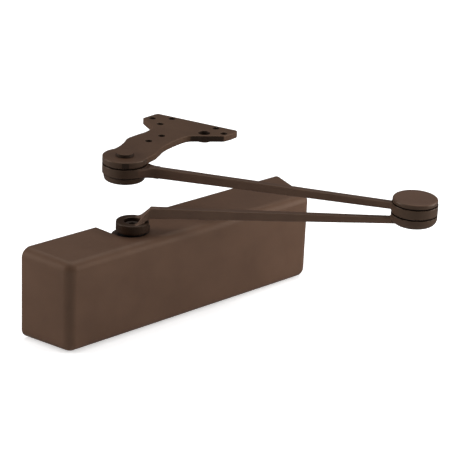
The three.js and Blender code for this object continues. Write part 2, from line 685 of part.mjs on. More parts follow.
add("forearm", makeForearm(), "arm", forearmGroup);
const bush = tube(PIN_RADIUS + 0.08, BUSH_RADIUS - 0.03, FOREARM_KNUCKLE[0], FOREARM_KNUCKLE[1]);
add("elbow_bush", bush, "bronze", forearmGroup);
add("bracket_bush", bush.translate([FOREARM_LENGTH, 0, 0]), "bronze", forearmGroup);

// ---------------------------------------------------------------- soffit bracket

const bracketGroup = new THREE.Group();
bracketGroup.position.set(FOREARM_LENGTH, 0, 0);
bracketGroup.rotation.z = THREE.MathUtils.degToRad(BRACKET_ANGLE - FOREARM_ANGLE);
forearmGroup.add(bracketGroup);

// Seen from above: the eye is at the origin and the plate's mounting edge is the line X = 121.4.
function bracketOutline() {
  const start = THREE.MathUtils.degToRad(58);
  const finish = THREE.MathUtils.degToRad(-78);
  const at = (points) => points.map(([x, y]) => new THREE.Vector2(x, y));
  const outline = new THREE.Shape();
  outline.moveTo(EYE_RADIUS * Math.cos(start), EYE_RADIUS * Math.sin(start));
  outline.splineThru(at([[20, 17.6], [30, 19.2], [43, 22.2], [57, 19.9], [67, 17.4], [77, 16.8]]));
  outline.quadraticCurveTo(82.2, 16.8, 85.4, 20.4);
  outline.lineTo(99.6, 38.2);
  outline.quadraticCurveTo(100.8, 39.8, 102.8, 39.4);
  outline.lineTo(118.8, 35.6);
  outline.quadraticCurveTo(121.4, 34.8, 121.4, 32);
  outline.lineTo(121.4, -52);
  outline.quadraticCurveTo(121.3, -55.6, 117.2, -55.6);
  outline.lineTo(109.3, -54.5);
  outline.lineTo(104.5, -52.8);
  outline.lineTo(99.8, -50.9);
  outline.lineTo(83.8, -26.8);
  outline.quadraticCurveTo(81, -22.4, 76, -21);
  outline.splineThru(at([[69.5, -19.6], [56, -17.8], [42, -17.4], [31, -19.4], [19.8, -21.3]]));
  outline.lineTo(EYE_RADIUS * Math.cos(finish), EYE_RADIUS * Math.sin(finish));
  outline.absarc(0, 0, EYE_RADIUS, finish, start, true);
  return outline;
}

function makeBracket() {
  let body = prism(bracketOutline(), CAP_BOTTOM, BRACKET_TOP, 6);
  const [rimX, rimY] = BRACKET_LARGE_HOLE;
  const rimBottom = CAP_BOTTOM - HOLE_RIM_DEPTH;
  body = body.add(rod(HOLE_RIM_RADIUS, rimBottom, CAP_BOTTOM + 1, "z", [rimX, rimY, 0], SMALL));
  body = body.subtract(rod(LARGE_HOLE_RADIUS, 70, 90, "z", [rimX, rimY, 0], SMALL));
  for (const [x, y] of BRACKET_SCREW_HOLES) {
    body = body.subtract(rod(SCREW_HOLE_RADIUS, 70, 90, "z", [x, y, 0], 12));
  }
  return body.subtract(rod(PIN_RADIUS + 0.05, 70, 90, "z"));
}

add("soffit_bracket", makeBracket(), "arm", bracketGroup);

const studProfile = [
  [0, BRACKET_CAP_BOTTOM + 1.4],
  [PIN_RADIUS, BRACKET_CAP_BOTTOM + 1.4],
  [PIN_RADIUS, BRACKET_TOP + 0.1],
  [8.5, BRACKET_TOP + 0.1],
  [8.5, BRACKET_TOP + 1.6],
  [7.6, BRACKET_TOP + 2.9],
  [5.8, BRACKET_TOP + 3.6],
  [0, BRACKET_TOP + 3.6],
];
add("bracket_stud", turned(studProfile), "arm", bracketGroup);

const retainerEdge = roundedEdge(18.9, BRACKET_CAP_BOTTOM, 2, -1, 3).reverse();
const retainer = [
  [0, BRACKET_CAP_BOTTOM],
  ...retainerEdge,
  [KNUCKLE_RADIUS - 0.9, MAIN_KNUCKLE[1]],
  [PIN_RADIUS + 0.1, MAIN_KNUCKLE[1]],
  [PIN_RADIUS + 0.1, BRACKET_CAP_BOTTOM + 1.2],
  [0, BRACKET_CAP_BOTTOM + 1.2],
];
add("bracket_retainer", turned(retainer, "z", [0, 0, 0], FINE), "arm", bracketGroup);
add("bracket_lower_washer", lowerWasher, "polymer", bracketGroup);
add("bracket_upper_washer", upperWasher, "polymer", bracketGroup);

export default closer;
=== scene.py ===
"""Door closer with its arm and soffit bracket: the looks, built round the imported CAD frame.

Lengths in the shape code are millimetres in the CAD frame, and become metres when a mesh is made.
"""

import math

import bmesh
import bpy
import numpy as np
from mathutils import Matrix, Vector


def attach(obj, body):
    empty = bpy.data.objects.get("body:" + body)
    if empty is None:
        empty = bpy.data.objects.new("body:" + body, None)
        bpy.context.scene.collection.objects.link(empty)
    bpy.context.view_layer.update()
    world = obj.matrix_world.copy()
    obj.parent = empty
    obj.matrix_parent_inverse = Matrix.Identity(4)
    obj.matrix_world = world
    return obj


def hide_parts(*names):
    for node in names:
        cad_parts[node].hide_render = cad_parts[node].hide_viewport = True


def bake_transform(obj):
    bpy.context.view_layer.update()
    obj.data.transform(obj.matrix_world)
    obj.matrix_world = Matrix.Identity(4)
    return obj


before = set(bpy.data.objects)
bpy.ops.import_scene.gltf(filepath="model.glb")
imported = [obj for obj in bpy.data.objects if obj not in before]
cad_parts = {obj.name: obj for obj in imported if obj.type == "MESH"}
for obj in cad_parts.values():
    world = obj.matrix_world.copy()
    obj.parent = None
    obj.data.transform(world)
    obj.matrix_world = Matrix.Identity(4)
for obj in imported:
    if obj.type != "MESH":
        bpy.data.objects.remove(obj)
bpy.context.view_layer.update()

MM = 0.001

# ---------------------------------------------------------------- sizes shared with the CAD model

COVER_LENGTH = 311.0
COVER_HEIGHT = 87.0
COVER_DEPTH = 53.8
COVER_WALL = 2.5
COVER_LEFT = -102.5
COVER_END_TAPER = 12.2
COVER_TOP_TAPER = 1.0
COVER_CORNER = 9.0
COVER_EDGE = 8.4
NOTCH_RADIUS = 18.2
NOTCH_CENTRE = (0.9, -21.0)
NOTCH_FLARE = math.radians(9)
COVER_SCREWS_X = (-56.5, 158.5)
COVER_SCREWS_Y = -4.6

SPINDLE_Y = -26.0
HUB_LOW, HUB_HIGH, HUB_RADIUS = 44.8, 53.5, 14.9
RECESS_RADIUS, RECESS_FLOOR = 7.6, 48.4
MAIN_ARM_LENGTH, MAIN_ARM_ANGLE = 251.7, math.radians(-40.57)
FOREARM_LENGTH, FOREARM_ANGLE = 273.0, math.radians(122.88)
BRACKET_ANGLE = math.radians(20.5)
BLADE_HALF_WIDTH = 3.6
KNUCKLE_RADIUS = 20.9
MAIN_KNUCKLE = (59.7, 69.6)
FOREARM_KNUCKLE = (70.4, 79.5)
CAP_BOTTOM, CAP_TOP = 80.3, 84.5
BRACKET_TOP = 86.6
RETAINER_BOTTOM = 63.8
SQUARE_HALF_WIDTH, SQUARE_MIDDLE, SQUARE_HALF_DEPTH = 5.35, 44.0, 6.0
PIN_RADIUS = 6.0
BUSH_RADIUS = 8.0

SPINDLE = (0.0, SPINDLE_Y)
ELBOW = Vector((
    MAIN_ARM_LENGTH * math.cos(MAIN_ARM_ANGLE),
    SPINDLE_Y + MAIN_ARM_LENGTH * math.sin(MAIN_ARM_ANGLE)))
EYE = ELBOW + FOREARM_LENGTH * Vector((math.cos(FOREARM_ANGLE), math.sin(FOREARM_ANGLE)))

ARM_PLACE = (MAIN_ARM_ANGLE, SPINDLE)
FOREARM_PLACE = (FOREARM_ANGLE, tuple(ELBOW))
BRACKET_PLACE = (BRACKET_ANGLE, tuple(EYE))

SCREW_HOLES = (
    (106.4, 31.9), (95.9, 17.2), (116, 15.4), (67, -0.9), (47.4, 1.9), (115.7, -33.7), (106.5, -47.3))
LARGE_HOLE = (97.3, -30.8)
SCREW_HOLE_RADIUS, LARGE_HOLE_RADIUS = 3.4, 5.8
LARGE_RIM_RADIUS, LARGE_RIM_DEPTH = 7.8, 1.4


# ---------------------------------------------------------------- camera

CAMERA_AT = (-0.95877, -1.19200, 0.67216)
CAMERA_YAW, CAMERA_PITCH, CAMERA_ROLL = (math.radians(a) for a in (42.7527, 22.4745, 2.6384))
CAMERA_LENS = 142.70


def add_camera():
    flat = math.cos(CAMERA_PITCH)
    forward = Vector((math.sin(CAMERA_YAW) * flat, math.cos(CAMERA_YAW) * flat, -math.sin(CAMERA_PITCH)))
    level = Vector((math.cos(CAMERA_YAW), -math.sin(CAMERA_YAW), 0.0))
    upright = level.cross(forward)
    right = math.cos(CAMERA_ROLL) * level + math.sin(CAMERA_ROLL) * upright
    up = right.cross(forward)
    data = bpy.data.cameras.new("camera")
    data.lens = CAMERA_LENS
    data.sensor_width = 36.0
    data.sensor_fit = "HORIZONTAL"
    data.clip_end = 60.0
    camera = bpy.data.objects.new("camera", data)
    turn = Matrix((right, up, -forward)).transposed().to_4x4()
    camera.matrix_world = Matrix.Translation(CAMERA_AT) @ turn
    bpy.context.scene.collection.objects.link(camera)
    bpy.context.scene.camera = camera


# ---------------------------------------------------------------- mesh helpers

def new_object(name, verts, faces, place=(0.0, (0.0, 0.0))):
    """A mesh from millimetre points, turned about Z and moved to its place in the frame."""
    angle, (x, y) = place
    verts = np.asarray(verts, float)
    c, s = math.cos(angle), math.sin(angle)
    moved = np.empty_like(verts)
    moved[:, 0] = c * verts[:, 0] - s * verts[:, 1] + x
    moved[:, 1] = s * verts[:, 0] + c * verts[:, 1] + y
    moved[:, 2] = verts[:, 2]
    mesh = bpy.data.meshes.new(name)
    mesh.from_pydata((moved * MM).tolist(), [], [list(map(int, f)) for f in faces])
    mesh.validate()
    piece = bpy.data.objects.new(name, mesh)
    bpy.context.scene.collection.objects.link(piece)
    mesh.polygons.foreach_set("use_smooth", [True] * len(mesh.polygons))
    face_outwards(mesh)
    return piece


def face_outwards(mesh):
    bm = bmesh.new()
    bm.from_mesh(mesh)
    bmesh.ops.recalc_face_normals(bm, faces=bm.faces)
    bm.to_mesh(mesh)
    bm.free()


def weighted_normals(piece):
    modifier = piece.modifiers.new("normals", "WEIGHTED_NORMAL")
    modifier.weight = 100
    modifier.keep_sharp = True


def soften(piece, width, segments, angle):
    """Small round edges, with flat faces kept flat in shading."""
    bevel = piece.modifiers.new("bevel", "BEVEL")
    bevel.width = width * MM
    bevel.segments = segments
    bevel.limit_method = "ANGLE"
    bevel.angle_limit = math.radians(angle)
    bevel.miter_outer = "MITER_ARC"
    bevel.use_clamp_overlap = True
    weighted_normals(piece)


def apply_modifiers(piece):
    graph = bpy.context.evaluated_depsgraph_get()
    mesh = bpy.data.meshes.new_from_object(piece.evaluated_get(graph))
    old = piece.data
    piece.modifiers.clear()
    piece.data = mesh
    bpy.data.meshes.remove(old)


def cut(piece, cutter):
    modifier = piece.modifiers.new("cut", "BOOLEAN")
    modifier.operation = "DIFFERENCE"
    modifier.solver = "EXACT"
    modifier.object = cutter
    apply_modifiers(piece)
    bpy.data.objects.remove(cutter)


LONGEST_FILLET = 0.49  # as a share of the shorter side at a corner


def round_corners(points, steps=5):
    """Profile points (r, z, fillet) as plain (r, z), with each corner turned into an arc of that fillet."""
    out = []
    for i, (r, z, fillet) in enumerate(points):
        corner = Vector((r, z))
        if fillet <= 0 or i in (0, len(points) - 1):
            out.append((r, z))
            continue
        before = Vector(points[i - 1][:2]) - corner
        after = Vector(points[i + 1][:2]) - corner
        half = before.angle(after) / 2
        reach = min(fillet / math.tan(half), before.length * LONGEST_FILLET, after.length * LONGEST_FILLET)
        radius = reach * math.tan(half)
        first = corner + before.normalized() * reach
        last = corner + after.normalized() * reach
        centre = corner + (before.normalized() + after.normalized()).normalized() * (radius / math.sin(half))
        a, b = first - centre, last - centre
        sweep = a.angle_signed(b)
        for k in range(steps + 1):
            t = -sweep * k / steps
            out.append((centre.x + a.x * math.cos(t) - a.y * math.sin(t),
                        centre.y + a.x * math.sin(t) + a.y * math.cos(t)))
    return out


def turned(name, profile, place=(0.0, (0.0, 0.0)), segments=96, centre=(0.0, 0.0, 0.0)):
    """A lathe piece about Z, from a profile of (r, height, fillet) that starts and ends on the axis."""
    verts, rings, faces = [], [], []
    for r, h in round_corners(profile):
        if r < 1e-6:
            rings.append([len(verts)])
            verts.append((0.0, 0.0, h))
            continue
        rings.append(list(range(len(verts), len(verts) + segments)))
        for k in range(segments):
            a = 2 * math.pi * k / segments
            verts.append((r * math.cos(a), r * math.sin(a), h))
    for lower, upper in zip(rings, rings[1:]):
        for k in range(segments):
            n = (k + 1) % segments
            if len(lower) == 1:
                faces.append((lower[0], upper[n], upper[k]))
            elif len(upper) == 1:
                faces.append((lower[k], lower[n], upper[0]))
            else:
                faces.append((lower[k], lower[n], upper[n], upper[k]))
    piece = new_object(name, np.array(verts) + np.array(centre), faces, place)
    weighted_normals(piece)
    return piece


# ---------------------------------------------------------------- forged and cast shapes as distance fields

HOLE_EDGE = 0.1  # edge rounding of a disc that cuts a hole

def smooth_join(k, *fields):
    """Union of distance fields, with fillets about k wide where they meet."""
    joined = fields[0]
    for other in fields[1:]:
        h = np.clip(0.5 + 0.5 * (other - joined) / k, 0, 1)
        joined = other * (1 - h) + joined * h - k * h * (1 - h)
    return joined


def smooth_cut(k, solid, *holes):
    """solid without the holes, with edges rounded about k wide."""
    for hole in holes:
        solid = -smooth_join(k, -solid, hole)
    return solid


def rounded_box(dx, dy, dz, edge):
    """Distance of a box with round edges, from each axis' distance past its side."""
    a, b, c = dx + edge, dy + edge, dz + edge
    outside = np.sqrt(np.maximum(a, 0) ** 2 + np.maximum(b, 0) ** 2 + np.maximum(c, 0) ** 2)
    return outside + np.minimum(np.maximum(np.maximum(a, b), c), 0) - edge


def disc(p, centre, radius, low, high, edge, axis=2):
    """A round bar or plate along an axis, from low to high, with round edges."""
    u, v = [i for i in range(3) if i != axis]
    r = np.hypot(p[:, u] - centre[0], p[:, v] - centre[1]) - radius + edge
    h = np.abs(p[:, axis] - (low + high) / 2) - (high - low) / 2 + edge
    return np.minimum(np.maximum(r, h), 0) + np.hypot(np.maximum(r, 0), np.maximum(h, 0)) - edge


def loft(p, stations, edge):
    """A bar along X whose half width, lowest and highest Z run smoothly through the stations."""
    x, half, low, high = np.array(stations, float).T
    at = np.clip(p[:, 0], x[0], x[-1])
    half, low, high = np.interp(at, x, half), np.interp(at, x, low), np.interp(at, x, high)
    dx = np.abs(p[:, 0] - (x[0] + x[-1]) / 2) - (x[-1] - x[0]) / 2
    dy = np.abs(p[:, 1]) - half
    dz = np.abs(p[:, 2] - (low + high) / 2) - (high - low) / 2
    return rounded_box(dx, dy, dz, edge)


def eased(a, b, count=9):
    """Stations from a to b with an S-curve between them."""
    a, b = np.array(a, float), np.array(b, float)
    out = []
    for i in range(count):
        t = i / (count - 1)
        s = t * t * (3 - 2 * t)
        row = a + (b - a) * s
        row[0] = a[0] + (b[0] - a[0]) * t
        out.append(tuple(row))
    return out


CHUNK = 20000  # points at a time, to bound the memory


def outline_distance(xy, outline):
    """Signed distance in the plane from a closed outline, negative inside."""
    a = np.asarray(outline, float)
    b = np.roll(a, -1, axis=0)
    out = np.empty(len(xy))
    for start in range(0, len(xy), CHUNK):
        q = xy[start:start + CHUNK]
        best = np.full(len(q), np.inf)
        inside = np.zeros(len(q), bool)
        for (ax, ay), (bx, by) in zip(a, b):
            ex, ey = bx - ax, by - ay
            wx, wy = q[:, 0] - ax, q[:, 1] - ay
            t = np.clip((wx * ex + wy * ey) / (ex * ex + ey * ey), 0, 1)
            best = np.minimum(best, (wx - ex * t) ** 2 + (wy - ey * t) ** 2)
            crosses = (ay > q[:, 1]) != (by > q[:, 1])
            if ay != by:
                inside ^= crosses & (q[:, 0] < ex * (q[:, 1] - ay) / ey + ax)
        out[start:start + CHUNK] = np.where(inside, -1, 1) * np.sqrt(best)
    return out


NEWTON_STEPS = 5


def surface_of(field, low, high, step):
    """Quads on the zero level of a distance field, as (points, faces): surface nets, then Newton steps."""
    low = np.array(low, float) - 2 * step
    count = np.ceil((np.array(high, float) + 2 * step - low) / step).astype(int) + 1
    axes = [low[i] + step * np.arange(count[i]) for i in range(3)]
    grid = np.stack(np.meshgrid(*axes, indexing="ij"), -1).reshape(-1, 3)
    value = field(grid).reshape(count)
    cells = tuple(count - 1)
    crossings = np.zeros(cells)
    where = np.zeros(cells + (3,))
    edges = []
    for axis in range(3):
        a = np.moveaxis(value, axis, 0)[:-1]
        b = np.moveaxis(value, axis, 0)[1:]
        cross = (a < 0) != (b < 0)
        t = np.where(cross, a / np.where(cross, a - b, 1), 0)
        cross, t, first = (np.moveaxis(m, 0, axis) for m in (cross, t, a < 0))
        edges.append((cross, first))
        u, v = [i for i in range(3) if i != axis]
        for du in (0, 1):
            for dv in (0, 1):
                part = [slice(None)] * 3
                part[u] = slice(du, count[u] - 1 + du)
                part[v] = slice(dv, count[v] - 1 + dv)
                c, tt = cross[tuple(part)], t[tuple(part)]
                crossings += c
                where[..., axis] += tt
                where[..., u] += du * c
                where[..., v] += dv * c
    used = crossings > 0
    number = np.full(cells, -1)
    number[used] = np.arange(used.sum())
    points = low + step * (np.argwhere(used) + where[used] / crossings[used][:, None])
    faces = []
    for axis in range(3):
        cross, first = edges[axis]
        u, v = (axis + 1) % 3, (axis + 2) % 3
        at = np.argwhere(cross)
        flip = first[tuple(at.T)]
        ring = []
        for du, dv in ((-1, -1), (0, -1), (0, 0), (-1, 0)):
            cell = at.copy()
            cell[:, u] += du
            cell[:, v] += dv
            ring.append(number[tuple(cell.T)])
        quads = np.stack(ring, -1)
        quads[~flip] = quads[~flip][:, ::-1]
        faces.append(quads)
    faces = np.concatenate(faces)
    h = step * 0.1
    for _ in range(NEWTON_STEPS):
        f = field(points)
        slope = np.stack([(field(points + h * e) - field(points - h * e)) / (2 * h) for e in np.eye(3)], -1)
        size = np.maximum((slope ** 2).sum(-1), 0.2)
        move = -(f / size)[:, None] * slope
        length = np.maximum(np.linalg.norm(move, axis=1), 1e-9)
        points = points + move * np.minimum(1, 0.4 * step / length)[:, None]
    return points, faces


def forged(name, field, low, high, step, place=(0.0, (0.0, 0.0))):
    points, faces = surface_of(field, low, high, step)
    return new_object(name, points, faces, place)


# ---------------------------------------------------------------- materials

def node_material(name):
    material = bpy.data.materials.new(name)
    material.use_nodes = True
    tree = material.node_tree
    shader = tree.nodes["Principled BSDF"]
    where = tree.nodes.new("ShaderNodeTexCoord")
    return material, tree, shader, where.outputs["Object"]


def noise(tree, where, scale, detail=3.0, roughness=0.55, stretch=None):
    if stretch is not None:
        mapping = tree.nodes.new("ShaderNodeMapping")
        mapping.inputs["Scale"].default_value = stretch
        tree.links.new(where, mapping.inputs["Vector"])
        where = mapping.outputs["Vector"]
    node = tree.nodes.new("ShaderNodeTexNoise")
    node.inputs["Scale"].default_value = scale
    node.inputs["Detail"].default_value = detail
    node.inputs["Roughness"].default_value = roughness
    tree.links.new(where, node.inputs["Vector"])
    return node.outputs["Fac"]


def mapped(tree, value, low, high, from_low=0.3, from_high=0.7):
    node = tree.nodes.new("ShaderNodeMapRange")
    node.inputs["From Min"].default_value = from_low
    node.inputs["From Max"].default_value = from_high
    node.inputs["To Min"].default_value = low
    node.inputs["To Max"].default_value = high
    tree.links.new(value, node.inputs["Value"])
    return node.outputs["Result"]


def mixed(tree, factor, a, b):
    """Colours a and b mixed by a factor socket; each colour is an RGB tuple or a socket."""
    node = tree.nodes.new("ShaderNodeMix")
    node.data_type = "RGBA"
    for socket, value in ((node.inputs[0], factor), (node.inputs[6], a), (node.inputs[7], b)):
        if isinstance(value, bpy.types.NodeSocket):
            tree.links.new(value, socket)
        else:
            socket.default_value = (*value, 1.0)
    return node.outputs[2]


def bumped(tree, shader, layers):
    """Stacks bump layers of (height socket, depth in metres) on the shader's normal."""
    normal = None
    for height, depth in layers:
        node = tree.nodes.new("ShaderNodeBump")
        node.inputs["Distance"].default_value = depth
        node.inputs["Strength"].default_value = 1.0
        tree.links.new(height, node.inputs["Height"])
        if normal is not None:
            tree.links.new(normal, node.inputs["Normal"])
        normal = node.outputs["Normal"]
    tree.links.new(normal, shader.inputs["Normal"])


WORN_FROM, WORN_TO = 0.53, 0.60  # pointiness of an edge


def edge_wear(tree):
    """0 on flats to 1 on worn convex edges."""
    geometry = tree.nodes.new("ShaderNodeNewGeometry")
    return mapped(tree, geometry.outputs["Pointiness"], 0.0, 1.0, WORN_FROM, WORN_TO)


def painted(name, dark, light, roughness, grain_depth, worn=None, wear=0.0, specular=0.3):
    """Satin bronze paint: soft colour drift, a fine grain, slightly uneven gloss and rubbed edges."""
    material, tree, shader, where = node_material(name)
    drift = mapped(tree, noise(tree, where, 26.0, 3.0), 0.0, 1.0)
    colour = mixed(tree, drift, dark, light)
    speck = mapped(tree, noise(tree, where, 1500.0, 2.0), 0.0, 0.22, 0.45, 0.75)
    colour = mixed(tree, speck, colour, light)
    if worn is not None:
        patchy = mapped(tree, noise(tree, where, 140.0, 4.0), 0.2, 1.0)
        node = tree.nodes.new("ShaderNodeMath")
        node.operation = "MULTIPLY"
        tree.links.new(edge_wear(tree), node.inputs[0])
        tree.links.new(patchy, node.inputs[1])
        scaled = mapped(tree, node.outputs[0], 0.0, wear, 0.0, 1.0)
        colour = mixed(tree, scaled, colour, worn)
    tree.links.new(colour, shader.inputs["Base Color"])
    gloss = mapped(tree, noise(tree, where, 60.0, 4.0), roughness - 0.05, roughness + 0.06)
    tree.links.new(gloss, shader.inputs["Roughness"])
    shader.inputs["Specular IOR Level"].default_value = specular
    shader.inputs["Specular Tint"].default_value = (1.0, 0.78, 0.62, 1.0)
    fine, coarse = noise(tree, where, 900.0, 3.0), noise(tree, where, 90.0, 2.0)
    bumped(tree, shader, [(fine, grain_depth), (coarse, grain_depth * 3)])
    return material


def metal(name, colour, roughness, marks=None, depth=0.00002, scale=400.0):
    """Bare metal with tool marks: marks stretches the grain, such as (1, 1, 30) for rings along Z."""
    material, tree, shader, where = node_material(name)
    shader.inputs["Metallic"].default_value = 1.0
    grain = noise(tree, where, scale, 3.0, 0.6, marks)
    dull = tuple(c * 0.72 for c in colour)
    tarnish = mapped(tree, noise(tree, where, 70.0, 4.0), 0.0, 1.0)
    tree.links.new(mixed(tree, tarnish, dull, colour), shader.inputs["Base Color"])
    tree.links.new(mapped(tree, grain, roughness - 0.08, roughness + 0.12), shader.inputs["Roughness"])
    bumped(tree, shader, [(grain, depth)])
    return material


def cast_iron(name, dark, light):
    material, tree, shader, where = node_material(name)
    rough = noise(tree, where, 420.0, 5.0, 0.65)
    colour = mixed(tree, mapped(tree, noise(tree, where, 45.0, 4.0), 0.0, 1.0), dark, light)
    colour = mixed(tree, mapped(tree, rough, 0.0, 0.35, 0.5, 0.7), colour, tuple(c * 1.6 for c in light))
    tree.links.new(colour, shader.inputs["Base Color"])
    shader.inputs["Metallic"].default_value = 0.55
    tree.links.new(mapped(tree, rough, 0.5, 0.75), shader.inputs["Roughness"])
    bumped(tree, shader, [(rough, 0.00025), (noise(tree, where, 2200.0, 2.0), 0.00005)])
    return material


def soft_material(name, dark, light, roughness):
    material, tree, shader, where = node_material(name)
    drift = mapped(tree, noise(tree, where, 300.0, 3.0), 0.0, 1.0)
    tree.links.new(mixed(tree, drift, dark, light), shader.inputs["Base Color"])
    gloss = mapped(tree, noise(tree, where, 150.0), roughness - 0.08, roughness + 0.08)
    tree.links.new(gloss, shader.inputs["Roughness"])
    bumped(tree, shader, [(noise(tree, where, 1800.0, 2.0), 0.00002)])
    return material


COVER_PAINT = painted("cover_paint", (0.070, 0.038, 0.024), (0.084, 0.046, 0.029), 0.44, 0.000018)
ARM_PAINT = painted(
    "arm_paint", (0.067, 0.038, 0.026), (0.084, 0.048, 0.032), 0.44, 0.000022,
    worn=(0.13, 0.09, 0.065), wear=0.5)
# painted shade: the arm's coat made darker for blade tops, so they read no lighter than the sides under the
# top light
BLADE_TOP_SHADE_PAINT = painted(
    "blade_top_shade_paint", (0.050, 0.028, 0.019), (0.064, 0.036, 0.024), 0.46, 0.000022,
    worn=(0.11, 0.07, 0.05), wear=0.4)
# the knuckles' round sides: a glossier paint, with a darker colour that is painted shade
JOINT_SHADE_PAINT = painted(
    "joint_shade_paint", (0.039, 0.023, 0.015), (0.050, 0.030, 0.020), 0.34, 0.000014,
    worn=(0.10, 0.07, 0.05), wear=0.5, specular=0.5)
# painted shade: the darkest coat, for undersides, hole walls, the bracket's milled flat and the stud head's
# side, where no light from below reaches
UNDERSIDE_SHADE_PAINT = painted(
    "underside_shade_paint", (0.018, 0.011, 0.008), (0.028, 0.017, 0.012), 0.5, 0.000022,
    worn=(0.08, 0.055, 0.04), wear=0.4)
# painted shade: a near-black coat round the hub, for the shade in the cover's notch and under the gooseneck
HUB_SHADE_PAINT = painted(
    "hub_shade_paint", (0.018, 0.009, 0.005), (0.025, 0.013, 0.008), 0.38, 0.000014,
    worn=(0.06, 0.04, 0.03), wear=0.4)
BRACKET_PAINT = painted(
    "bracket_paint", (0.053, 0.028, 0.017), (0.068, 0.037, 0.022), 0.44, 0.000022,
    worn=(0.12, 0.08, 0.06), wear=0.5)
# painted shadow: a near-black coat on the rounded rim faces beside a seam, for the shadow in the gap between
# parts, which also hides the rim's highlight
SEAM_SHADOW_PAINT = painted("seam_shadow_paint", (0.008, 0.004, 0.002), (0.013, 0.007, 0.004), 0.6, 0.00001, specular=0.05)
HOUSING_PAINT = painted("housing_paint", (0.020, 0.011, 0.008), (0.028, 0.015, 0.011), 0.5, 0.00004)
SCREW_FINISH = painted(
    "screw_finish", (0.030, 0.021, 0.017), (0.042, 0.030, 0.024), 0.36, 0.000012,
    worn=(0.12, 0.10, 0.09), wear=0.5)
BLACK_STEEL = metal("black_steel", (0.055, 0.050, 0.048), 0.42, (1, 1, 14))
IRON = cast_iron("cast_iron", (0.075, 0.070, 0.066), (0.13, 0.125, 0.12))
TURNED_Z = metal("turned_steel_z", (0.42, 0.42, 0.43), 0.30, (1, 1, 14))
TURNED_X = metal("turned_steel_x", (0.42, 0.42, 0.43), 0.30, (14, 1, 1))
SPRING_STEEL = metal("spring_steel", (0.20, 0.21, 0.23), 0.38)
ZINC = metal("zinc_plate", (0.55, 0.55, 0.53), 0.28)
BRONZE = metal("sintered_bronze", (0.50, 0.33, 0.13), 0.42, depth=0.00004, scale=1500.0)
RUBBER = soft_material("seal_rubber", (0.010, 0.010, 0.010), (0.020, 0.020, 0.020), 0.72)
POLYMER = soft_material("washer_polymer", (0.004, 0.004, 0.004), (0.008, 0.008, 0.008), 0.6)


def finish_piece(piece, body, node, material=None):
    """piece stands for a CAD node and rides on its body. A piece that is already painted needs no material."""
    if material is not None:
        piece.data.materials.append(material)
    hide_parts(node)
    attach(piece, body)


# painted shade on joints, undersides, hub and blade tops, and a painted shadow at seams
JOINT_SHADE, UNDERSIDE_SHADE, HUB_SHADE, SEAM_SHADOW, BLADE_TOP_SHADE = range(1, 6)  # material indices after the coat's
RIM_BAND = (KNUCKLE_RADIUS - 2.5, KNUCKLE_RADIUS + 0.3)  # distances from a knuckle's axis
HUB_REACH, HUB_CLEARANCE = HUB_RADIUS + 1.5, 24.0  # distances from the hub's axis
SEAM_SHADOW_REACH = 0.6
SEAM_TILT, UPWARD, DOWNWARD = 0.2, 0.6, -0.7  # Z of a face's normal


def paint_forging(piece, coat=ARM_PAINT, axes=(), seams=(), hub=None, shaded=None, blade=False):
    """The coat all over, with painted shade on the round sides about the (x, y) axes in a glossier paint, a
    painted shadow line where a seam height meets them, painted shade round the hub, darker painted shade on
    top of a blade, and the darkest painted shade on undersides and wherever shaded(x, y, z, normal) says."""
    for material in (coat, JOINT_SHADE_PAINT, UNDERSIDE_SHADE_PAINT, HUB_SHADE_PAINT, SEAM_SHADOW_PAINT, BLADE_TOP_SHADE_PAINT):
        piece.data.materials.append(material)
    for face in piece.data.polygons:
        x, y, z = face.center / MM
        up = face.normal.z
        rim = any(RIM_BAND[0] < math.hypot(x - ax, y - ay) < RIM_BAND[1] for ax, ay in axes)
        from_hub = math.inf if hub is None else math.hypot(x - hub[0], y - hub[1])
        # tilted rim faces next to a seam take a painted shadow line
        if rim and abs(up) > SEAM_TILT and any(abs(z - seam) < SEAM_SHADOW_REACH for seam in seams):
            face.material_index = SEAM_SHADOW
        # faces that shaded() picks take the underside's painted shade
        elif shaded is not None and shaded(x, y, z, face.normal):
            face.material_index = UNDERSIDE_SHADE
        # downward faces away from the hub take painted shade
        elif up < DOWNWARD and from_hub > HUB_CLEARANCE:
            face.material_index = UNDERSIDE_SHADE
        # faces round the hub, up to its top, take painted shade
        elif from_hub < HUB_REACH and z < HUB_HIGH + 0.1:
            face.material_index = HUB_SHADE
        # the round sides of a knuckle take painted shade
        elif rim and up < UPWARD:
            face.material_index = JOINT_SHADE
        # upward blade faces away from the hub take painted shade
        elif blade and up > UPWARD and from_hub > HUB_CLEARANCE:
            face.material_index = BLADE_TOP_SHADE


HOLE_WALL_REACH = 0.4
MILLED_NORMAL, MILLED_MATCH = (-0.833, -0.553), 0.985  # direction in the bracket's plane, least cosine to it


def bracket_shading():
    """Hole walls and the milled flat on the bracket's stub take the underside's painted shade."""
    c, s = math.cos(BRACKET_ANGLE), math.sin(BRACKET_ANGLE)
    local = [(hole, SCREW_HOLE_RADIUS) for hole in SCREW_HOLES] + [(LARGE_HOLE, LARGE_HOLE_RADIUS)]
    holes = [(EYE.x + c * x - s * y, EYE.y + s * x + c * y, r) for (x, y), r in local]
    nx, ny = MILLED_NORMAL
    milled = Vector((c * nx - s * ny, s * nx + c * ny, 0.0))

    def shaded(x, y, z, normal):
        if abs(normal.z) > UPWARD:
            return False
        if any(math.hypot(x - hx, y - hy) < r + HOLE_WALL_REACH for hx, hy, r in holes):
            return True
        return normal.dot(milled) > MILLED_MATCH

    return shaded


# ---------------------------------------------------------------- cover

